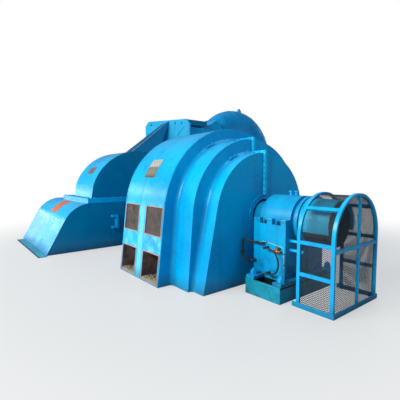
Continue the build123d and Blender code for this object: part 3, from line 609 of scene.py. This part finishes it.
def on_leg(side, u, v, h):
    """A point on a frame leg: u along the shaft, v up the leg, h out from it."""
    foot = Vector((u, side * FRAME_FOOT, 0))
    up = Vector((0, -side * sin(LEG_TILT), cos(LEG_TILT)))
    return foot + v * up + h * Vector((0, side * cos(LEG_TILT), sin(LEG_TILT)))


def on_plate(along, drop, out=0.0):
    """A point on the head plate's front face."""
    way = Vector((cos(PLATE_TURN), sin(PLATE_TURN), 0))
    forward = Vector((sin(PLATE_TURN), -cos(PLATE_TURN), 0))
    return PLATE_MID + along * way + out * forward - Vector((0, 0, drop))


# Guard cage mesh

STRAND_SLOPE, STRAND_PITCH, STRAND_WIDE, STRAND_THICK = 0.66, 0.026, 0.0057, 0.0022
MESH_FOOT = 0.008
MESH_Y = CAGE_HALF - CAGE_DEEP - 0.0023
MESH_FRONT_X = CAGE_X1 - CAGE_DEEP - 0.0021
MESH_U = (CAGE_X0 + CAGE_BAR / 2, CAGE_X1 - CAGE_DEEP - 0.0045)


def lattice(name, node, spans, place, samples, inside=None, curved=False):
    """Crossed strands over a sheet in its own u, v; place(u, v, h) gives the point at height h over it."""
    (u0, u1), (v0, v1) = spans
    shape = Shape()
    for sign in (-1, 1):
        slope = sign * STRAND_SLOPE
        across = Vector((-slope, 1)).normalized() * (STRAND_WIDE / 2)
        lift = sign * STRAND_THICK * 0.35
        start = v0 - max(slope * u0, slope * u1)
        top = v1 - min(slope * u0, slope * u1)
        while start < top:
            run = [(u, slope * u + start) for u in evenly(u0, u1, samples)]
            run = [(u, v) for u, v in run if v0 <= v <= v1 and (inside is None or inside(u, v))]
            if len(run) > 1:
                rings = []
                for u, v in run if curved else (run[0], run[-1]):
                    rings.append([
                        place(u + a * across.x, v + a * across.y, lift + b * STRAND_THICK / 2)
                        for a, b in ((1, 1), (-1, 1), (-1, -1), (1, -1))
                    ])
                shape.loops(rings)
            start += STRAND_PITCH
    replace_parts(shape.make(name, "mesh_steel", "mesh_steel"), node)


def on_roof(u, v, h):
    """A point over the arched sheet: u along the shaft, v round the arch."""
    angle = v / MESH_Y
    return Vector((u, (MESH_Y + h) * cos(angle), CAGE_SPRING + (MESH_Y + h) * sin(angle)))


def on_front(u, v, h):
    """A point over the front sheet: u across, v up."""
    return Vector((MESH_FRONT_X + h, u, v))


def in_arch(y, z):
    """Whether a point is inside the front sheet's outline."""
    return z <= CAGE_SPRING or hypot(y, z - CAGE_SPRING) <= MESH_Y


def cage_mesh():
    """Expanded metal on both sides, over the top and at the front."""
    for hand, side in (("left", -1), ("right", 1)):
        lattice(
            f"mesh_{hand}", f"cage_mesh_{hand}", (MESH_U, (MESH_FOOT, CAGE_SPRING)),
            lambda u, v, h: Vector((u, side * (MESH_Y + h), v)), 200,
        )
    lattice("mesh_roof", "cage_mesh_top", (MESH_U, (0, pi * MESH_Y)), on_roof, 36, curved=True)
    front = ((-MESH_Y, MESH_Y), (MESH_FOOT, CAGE_SPRING + MESH_Y))
    lattice("mesh_front", "cage_mesh_front", front, on_front, 400, inside=in_arch)


cage_mesh()


# Vents

def vent_wire():
    """Woven wire over the upper vents: upright wires in front of level ones."""
    pitch, wide, thick, half_height, edge = 0.0105, 0.0028, 0.0014, 0.205, 0.001
    upright_depth, level_depth = -0.0135, -0.0147
    screen = Shape()

    def wire(side, start, end, h):
        screen.bar(on_leg(side, *start, h), on_leg(side, *end, h), wide, thick, (0, side, 0))

    for side in (-1, 1):
        for middle in (-VENT_X, VENT_X):
            u0, u1 = middle - VENT_W / 2 + edge, middle + VENT_W / 2 - edge
            v0, v1 = SCREEN_MIDDLE - half_height, SCREEN_MIDDLE + half_height
            for u in evenly(u0, u1, int((u1 - u0) / pitch)):
                wire(side, (u, v0), (u, v1), upright_depth)
            for v in evenly(v0, v1, int((v1 - v0) / pitch)):
                wire(side, (u0, v), (u1, v), level_depth)
    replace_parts(screen.make("vent_wire", "vent_mesh", "vent_mesh"), "vent_screens")


def vent_rubble():
    """Dust and small stones on the sills of the lower vents."""
    sill, stone_seat, half_width = 0.0375, 0.062, 0.228
    rows, columns, stones = 13, 22, 26
    first, row_gap = -0.008, 0.026
    least, uneven, hump = 0.012, 0.016, 0.02
    stone = ((0, 0.5), (0.4, 1), (1.0, 0.9), (1.4, 0.4))
    heap = Shape()
    for side in (-1, 1):
        for middle in (-VENT_X, VENT_X):
            rings = []
            for i in range(rows):
                h = first - row_gap * i
                tops = []
                for j in range(columns + 1):
                    swell = hump * sin(3 + middle * 9 + j * 0.55) ** 2 * min(1, i / 3)
                    rise = least + uneven * random.random() + swell
                    tops.append(on_leg(side, middle + (0.5 - j / columns) * 2 * half_width, sill + rise, h))
                low = [on_leg(side, middle - half_width, sill, h), on_leg(side, middle + half_width, sill, h)]
                rings.append(low + tops)
            heap.loops(rings)
            for _ in range(stones):
                u, h = middle + random.uniform(-0.2, 0.2), random.uniform(-0.22, -0.03)
                size = random.uniform(0.006, 0.014)
                lean = (random.uniform(-1, 1), random.uniform(-1, 1), 1.5)
                profile = [(along * size, radius * size) for along, radius in stone]
                heap.turned(on_leg(side, u, stone_seat, h), lean, profile, 6)
    heap.make("vent_rubble", "rubble", "vent_mesh")


vent_wire()
vent_rubble()


# Bolts and nuts

def joint_bolts():
    """Bolts on both faces of the raised joint, along the steps of the covers."""
    inset, spacing, size = 0.018, 0.095, 0.0105
    cover_top, nose_top = SHAFT_Z + COVER_R, SHAFT_Z + NOSE_R
    runs = (
        ((FRAME_HALF + 0.05, cover_top + inset), (COVER_FACE + 0.01, cover_top + inset)),
        ((COVER_FACE + inset, cover_top - 0.03), (COVER_FACE + inset, nose_top + 0.06)),
        ((COVER_FACE + 0.06, nose_top + inset), (NOSE_FACE + 0.01, nose_top + inset)),
        ((NOSE_FACE + inset, nose_top - 0.04), (NOSE_FACE + inset, SHAFT_Z + 0.38)),
        ((NOSE_FACE + inset, SHAFT_Z - 0.38), (NOSE_FACE + inset, 0.06)),
    )
    heads = Shape()
    for end in (-1, 1):
        for side in (-1, 1):
            for (xa, za), (xb, zb) in runs:
                count = max(1, round(hypot(xb - xa, zb - za) / spacing))
                for x, z in zip(evenly(xa, xb, count), evenly(za, zb, count)):
                    heads.bolt((end * x, side * JOINT_HALF, z), (0, side, 0), size)
    heads.make("joint_bolts", "blue_paint", "blue_paint")


def cap_bolts():
    """Nuts and stud ends in the pockets beside both bearing caps."""
    pocket_y, pocket_z, nut_top, size = 0.41, 0.966, 0.985, 0.024
    near_x, far_x = 1.6725, 1.8955
    stud = [(0, 0.013), (0.03, 0.013), (0.034, 0.01)]
    nuts = Shape()
    for end in (-1, 1):
        for side in (-1, 1):
            for x in (near_x, far_x):
                nuts.bolt((end * x, side * pocket_y, pocket_z), UP, size)
                nuts.turned((end * x, side * pocket_y, nut_top), UP, stud, 12)
    nuts.make("cap_bolts", "bolt_steel", "blue_paint_bright")


def casing_bolts():
    """Bolts on top of the casing's flange, and at the foot of the upper casing."""
    front_x, front_y, front_spacing, front_size = CASING_X - 0.08, -1.39, 0.17, 0.018
    end_x, end_y, end_spacing, end_size, shaft_gap = CASING_X - 0.045, -1.26, 0.21, 0.02, 0.25
    foot_x, foot_y, foot_spacing, foot_size = UPPER_MID + 0.5, -1.35, 0.2, 0.017
    heads, foot = Shape(), Shape()
    for i in range(11):
        heads.bolt((front_x - front_spacing * i, front_y, CASING_TOP), UP, front_size)
    for i in range(13):
        y = end_spacing * i + end_y
        if abs(y) > shaft_gap:
            heads.bolt((end_x, y, CASING_TOP), UP, end_size)
    for i in range(6):
        foot.bolt((foot_x - foot_spacing * i, foot_y, CASING_TOP), UP, foot_size)
    foot.make("hood_foot_bolts", "bolt_steel", "blue_paint")
    heads.make("casing_bolts", "blue_paint", "blue_paint")


def head_plate_parts():
    """Three bolts along the head plate's top, bolts down its sides and a short rib."""
    forward = on_plate(0, 0, 1) - on_plate(0, 0)
    top_drop, top_size = 0.092, 0.02
    edge_along, edge_size = 0.64, 0.015
    rib_wide, rib_thick = 0.016, 0.012
    top, edge, rib = Shape(), Shape(), Shape()
    for along in (-0.505, 0.257, 0.457):
        top.bolt(on_plate(along, top_drop), forward, top_size)
    top.make("head_plate_bolts", "dark_iron", "dark_iron")
    for drop in (0.19, 0.33, 0.47, 0.61, 0.74):
        for along in (-edge_along, edge_along):
            edge.bolt(on_plate(along, drop), forward, edge_size)
    edge.make("head_edge_bolts", "blue_paint", "blue_paint")
    upper, lower = on_plate(0.55, 0.18, rib_thick / 2), on_plate(0.30, 0.42, rib_thick / 2)
    rib.bar(upper, lower, rib_wide, rib_thick, forward)
    rib.make("head_plate_rib", "blue_paint", "blue_paint")


def pipe_nuts():
    """Nuts round the bend's flange and round the foot flange."""
    bend_count, bend_circle, bend_size = 16, 0.427, 0.014
    foot_count, foot_circle, foot_top, foot_size = 12, 0.45, 0.05, 0.022
    outward = Vector((0, cos(BEND_SWEEP), sin(BEND_SWEEP)))
    outlet = Vector((BEND_X, BEND_Y + BEND_R * cos(BEND_SWEEP), BEND_Z + BEND_R * sin(BEND_SWEEP)))
    run = Vector((0, -sin(BEND_SWEEP), cos(BEND_SWEEP)))
    nuts = Shape()
    for i in range(bend_count):
        angle = 2 * pi * i / bend_count
        spot = outlet + bend_circle * (cos(angle) * outward + sin(angle) * Vector(ALONG))
        nuts.bolt(spot, -run, bend_size)
    for i in range(foot_count):
        angle = 2 * pi * (i + 0.5) / foot_count
        spot = (BEND_X + foot_circle * cos(angle), BEND_Y + BEND_R + foot_circle * sin(angle), foot_top)
        nuts.bolt(spot, UP, foot_size)
    nuts.make("pipe_nuts", "bolt_steel", "blue_paint_pipe")


joint_bolts()
cap_bolts()
casing_bolts()
head_plate_parts()
pipe_nuts()


# Weld beads and seams, and painted highlight lines on the casing

WELD_R = 0.006


def frame_seams():
    """Thin seams over the frame's arch, near its ends and off its middle."""
    inset, off_middle, proud, radius = 0.025, -0.10, 0.0005, 0.0035
    for number, x in enumerate((-FRAME_HALF + inset, off_middle, FRAME_HALF - inset)):
        line = [p + way * proud for p, way in frame_arch(x)[1:-1]]
        tube(f"frame_seam_{number}", line, radius, "blue_paint")


def collar_welds():
    """A bead round each shaft collar."""
    radius, count = 0.333, 72
    turns = [2 * pi * i / count for i in range(count)]
    for end, hand in ((1, "front"), (-1, "rear")):
        circle = [Vector((end * COLLAR_FACE, radius * cos(t), SHAFT_Z + radius * sin(t))) for t in turns]
        tube(f"collar_weld_{hand}", circle, WELD_R, "blue_paint", cyclic=True)


def pipe_welds():
    """Beads round the inlet bend where its segments meet."""
    count, proud = 96, 0.0005
    turns = [2 * pi * i / count for i in range(count)]
    for number, angle in enumerate((100, 66, 33, 0)):
        bend = radians(angle)
        middle = Vector((BEND_X, BEND_Y + BEND_R * cos(bend), BEND_Z + BEND_R * sin(bend)))
        way = Vector((0, cos(bend), sin(bend)))
        circle = [middle + (PIPE_R + proud) * (cos(t) * way + sin(t) * Vector(ALONG)) for t in turns]
        tube(f"pipe_weld_{number}", circle, WELD_R, "blue_paint_pipe", cyclic=True)


def casing_highlights():
    """Painted highlights: pale lines where the lower casing's top meets its shoulder and its leaning front
    begins.
    """
    shoulder_y, shoulder_z, shoulder_highlight = -1.436, 1.0385, 0.006
    crease_y, crease_z, crease_highlight = -1.9374, 0.690, 0.0045
    shoulder = [(x, shoulder_y, shoulder_z) for x in (-4.25, -3.7, -3.1, -2.46)]
    tube("shoulder_highlight", shoulder, shoulder_highlight, "pale_highlight")
    crease = [(x, crease_y, crease_z) for x in (CASING_X - 0.01, -3.3, -4.1, -4.93)]
    tube("crease_highlight", crease, crease_highlight, "pale_highlight")


frame_seams()
collar_welds()
pipe_welds()
casing_highlights()


# Bare plates and their screws

def curved_plate(name, mat, x_range, angles, centre, radius):
    """A thin sheet on a round casing, between two angles about the casing's own centre (y, z)."""
    thick, sunk, steps = 0.002, 0.001, 10
    x0, x1 = (Vector((x, 0, 0)) for x in x_range)
    shape = Shape()
    rings = []
    for degrees in evenly(*angles, steps):
        angle = radians(degrees)
        way = Vector((0, cos(angle), sin(angle)))
        low = Vector((0, *centre)) + way * (radius - sunk)
        high = low + way * (thick + sunk)
        rings.append([low + x0, low + x1, high + x1, high + x0])
    shape.loops(rings)
    shape.make(name, mat, "plate_metal")


def plate_screws():
    """A screw in each corner of both plates on the frame."""
    screw, plate_thick = [(0, 0.006), (0.0015, 0.006), (0.0028, 0.0035)], 0.0028
    screws = Shape()
    for z in (1.610, 1.760, 1.780, 1.880):
        y = -sqrt((FRAME_R + plate_thick) ** 2 - (z - SHAFT_Z) ** 2)
        for x in (-0.165, 0.125):
            screws.turned((x, y, z), (0, y, z - SHAFT_Z), screw, 10)
    screws.make("plate_screws", "machined_steel", "plate_metal")


curved_plate("casing_plate", "orange_plate", (-3.84, -3.36), (141, 103), SHOULDER_CENTRE, SHOULDER_R)
curved_plate("upper_casing_plate", "brown_plate", (-3.30, -2.92), (137, 146), UPPER_CENTRE, UPPER_R)
plate_screws()


# Conduit and front bearing

def conduit_trim():
    """A painted highlight, a bright bead on the conduit's near edge, and a brass plug in its top."""
    low, high, highlight_radius = Vector((-2.942, -0.266, 2.11)), Vector((-2.998, 1.03, 3.114)), 0.0055
    tube("conduit_highlight", [low, low.lerp(high, 0.5), high], highlight_radius, "highlight_and_capillary")
    seat, outward, size = (-2.99, 0.17, 2.449), (0, -0.61, 0.79), 0.022
    plug = Shape()
    plug.bolt(seat, outward, size)
    plug.make("conduit_plug", "valve_brass", "valve_brass")


def cap_edges():
    """Painted highlights on the edges of the cap's flange, and the dark split between cap and pedestal."""
    flange_z, edge, gap = 1.04, 0.0035, 0.002
    near, middle, far = (1.502, 1.6), (1.742, 1.816), (1.974, 2.01, 2.045)
    for name, xs, z, radius, mat in (
        ("cap_edge_highlight", middle, flange_z, edge, "highlight_and_capillary"),
        ("cap_corner_highlight", far, flange_z, edge, "highlight_and_capillary"),
        ("cap_split", near, SHAFT_Z, gap, "dark_iron"),
        ("cap_split_rear", far, SHAFT_Z, gap, "dark_iron"),
    ):
        tube(name, [(x, BEARING_FACE, z) for x in xs], radius, mat)


def capillary():
    """A thin line over the pedestal's face."""
    radius = 0.005
    route = (
        (1.665, 0.715), (1.80, 0.709), (1.907, 0.694), (2.0, 0.684),
        (2.03, 0.655), (2.032, 0.56), (2.03, 0.395),
    )
    points = [(x, CAPILLARY_Y, z) for x, z in route]
    tube("capillary", points, radius, "highlight_and_capillary", smooth=True)


def pipe_unions():
    """The capillary's clips, and the unions of the oil pipe."""
    clip_half, clip_wide, clip_thick = 0.011, 0.012, 0.013
    nut = [(-0.02, 0.02), (-0.017, 0.023), (0.017, 0.023), (0.02, 0.02)]
    unions = Shape()
    for x, z in ((2.031, 0.60), (2.031, 0.45), (1.74, 0.712)):
        a, b = (x - clip_half, CAPILLARY_Y, z), (x + clip_half, CAPILLARY_Y, z)
        unions.bar(a, b, clip_wide, clip_thick, (0, -1, 0))
    for x, z, axis in ((1.63, 0.70, ALONG), (1.45, 0.43, ALONG), (1.345, 0.53, UP)):
        unions.turned((x, OIL_PIPE_Y, z), axis, nut, 6)
    unions.make("pipe_unions", "oil_pipe", "oil_pipe")


def oil_valve():
    """A small brass valve: hexagon ends, a round body, a seat on the pedestal and a hand wheel."""
    middle, wheel_rise = Vector((1.945, -0.477, 0.622)), Vector((0, 0, 0.045))
    near_end = [(-0.052, 0.02), (-0.05, 0.023), (-0.033, 0.023), (-0.031, 0.018)]
    far_end = [(0.031, 0.018), (0.033, 0.023), (0.05, 0.023), (0.052, 0.02)]
    body = [
        (-0.034, 0.016), (-0.022, 0.018), (-0.012, 0.027), (0, 0.031),
        (0.012, 0.027), (0.022, 0.018), (0.034, 0.016),
    ]
    seat = [(0, 0.018), (0.03, 0.018), (0.031, 0.024), (0.0372, 0.024)]
    stem = [(0.02, 0.013), (0.038, 0.012), (0.039, 0.008), (0.046, 0.008)]
    wheel = [(0, 0.028), (0.003, 0.031), (0.008, 0.031), (0.011, 0.027)]
    valve = Shape()
    valve.turned(middle, ALONG, near_end, 6)
    valve.turned(middle, ALONG, far_end, 6)
    valve.turned(middle, ALONG, body, 20)
    valve.turned(middle, (0, 1, 0), seat, 16)
    valve.turned(middle, UP, stem, 12)
    valve.turned(middle + wheel_rise, UP, wheel, 20)
    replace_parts(valve.make("oil_valve_body", "valve_brass", "valve_brass"), "oil_valve")


def hose_fittings():
    """At each end of the hose: a block on the face, a nut and a ferrule."""
    block = [(0, 0.02), (0.008, 0.02), (0.01, 0.0165), (0.06, 0.0165), (0.064, 0.02)]
    nut = [(0.064, 0.02), (0.1, 0.02), (0.103, 0.017)]
    ferrule = [(-0.03, 0.016), (-0.014, 0.016), (-0.012, 0.0195), (0, 0.0195)]
    block_back = 0.025
    ends = Shape()
    for x, z in ((1.79, 0.65), (1.82, 0.305)):
        middle = (x - block_back, BEARING_FACE, z)
        ends.turned(middle, (0, -1, 0), block, 20)
        ends.turned(middle, (0, -1, 0), nut, 6)
        ends.turned((x, HOSE_Y, z), ALONG, ferrule, 6)
    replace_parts(ends.make("hose_end_fittings", "bolt_steel", "valve_brass"), "hose_fittings")


def oil_hose():
    """The oil hose between its fittings."""
    hose_radius = 0.011
    hose_route = (
        (1.790, 0.650), (1.885, 0.650), (1.970, 0.585), (2.008, 0.480),
        (1.990, 0.370), (1.910, 0.305), (1.820, 0.305),
    )
    hose_points = [(x, HOSE_Y, z) for x, z in hose_route]
    hose = tube("oil_hose_line", hose_points, hose_radius, "hose_rubber", smooth=True)
    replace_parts(hose, "oil_hose")


conduit_trim()
cap_edges()
capillary()
pipe_unions()
oil_valve()
hose_fittings()
oil_hose()


# Floor, lamps and world

def pale_floor():
    """A pale floor that fades to white away from the object, where the camera sees it."""
    centre, near, far = (-0.9, 0.6, 0), 3.5, 8.5
    mat, tree, shader, where = blank("pale_floor")
    shader.inputs["Base Color"].default_value = (0.5, 0.51, 0.52, 1)
    shader.inputs["Roughness"].default_value = 0.35
    shader.inputs["Specular IOR Level"].default_value = 0.3
    place = add(tree, "ShaderNodeNewGeometry").outputs["Position"]
    offset = add(tree, "ShaderNodeVectorMath", {0: place, 1: centre}, operation="SUBTRACT").outputs[0]
    distance = add(tree, "ShaderNodeVectorMath", {0: offset}, operation="LENGTH").outputs["Value"]
    white = add(tree, "ShaderNodeEmission", {"Color": (1, 1, 1, 1), "Strength": 1.0}).outputs[0]
    seen = add(tree, "ShaderNodeLightPath").outputs["Is Camera Ray"]
    factor = times(tree, mapped(tree, distance, near, far, 0.5, 1.0), seen)
    blend = add(tree, "ShaderNodeMixShader", {0: factor, 1: shader.outputs[0], 2: white})
    tree.links.new(blend.outputs[0], tree.nodes["Material Output"].inputs["Surface"])
    return mat


def floor():
    """The stage: one large level sheet."""
    half = 40
    corners = [(-half, -half, 0), (half, -half, 0), (half, half, 0), (-half, half, 0)]
    mesh = bpy.data.meshes.new("floor")
    mesh.from_pydata(corners, [], [(0, 1, 2, 3)])
    mesh.materials.append(pale_floor())
    obj = bpy.data.objects.new("floor", mesh)
    bpy.context.scene.collection.objects.link(obj)


def lamp(name, place, aim, power, size, colour=(1, 1, 1), glossy=True):
    """A rectangular lamp of so many watts; without glossy it leaves no reflection of its own."""
    data = bpy.data.lights.new(name, "AREA")
    data.shape = "RECTANGLE"
    data.energy, data.color = power, colour
    data.size, data.size_y = size
    obj = bpy.data.objects.new(name, data)
    obj.location = place
    obj.visible_glossy = glossy
    obj.rotation_euler = (Vector(aim) - Vector(place)).to_track_quat("-Z", "Y").to_euler()
    bpy.context.scene.collection.objects.link(obj)


def world():
    """White to the camera, and to the object a dim bluish fill, slightly brighter in reflections."""
    fill, reflected, bluish = 0.18, 0.24, (0.72, 0.95, 1.25, 1)
    sky = bpy.data.worlds.new("world")
    sky.use_nodes = True
    tree = sky.node_tree
    background = tree.nodes["Background"]
    path = add(tree, "ShaderNodeLightPath").outputs
    seen = maths(tree, "MAXIMUM", path["Is Camera Ray"], path["Is Transmission Ray"])
    glossy = times(tree, path["Is Glossy Ray"], reflected)
    strength = maths(tree, "MAXIMUM", maths(tree, "MAXIMUM", seen, glossy), fill)
    tint = mixed(tree, path["Is Camera Ray"], bluish, (1, 1, 1, 1))
    tree.links.new(tint, background.inputs["Color"])
    tree.links.new(strength, background.inputs["Strength"])
    bpy.context.scene.world = sky


floor()
lamp("key", (-2.0, -16.5, 10), (-1.0, 0, 1.0), 5400, (16, 5), (1, 1, 0.93))
lamp("overhead", (2.6, 1.0, 5.4), (0.6, 0.4, 1.0), 70, (3, 2), (0.9, 1, 1))
lamp("window", (-10.5, -6.5, 3.8), (0, -1.5, 1.2), 84, (2.6, 1.4))
lamp("low_window", (-10.5, -3.5, 1.6), (-3, -1.8, 0.8), 9, (1.8, 0.4))
lamp("back", (-3.0, 17.0, 7.0), (-1.5, 0, 1.0), 1700, (14, 5), (1, 1, 0.97), glossy=False)
lamp("apron", (-10.5, -4.2, 0.7), (-3, -1.8, 0.6), 16, (3, 1.1))
world()
bpy.context.scene.view_settings.view_transform = "Standard"

bpy.context.view_layer.update()
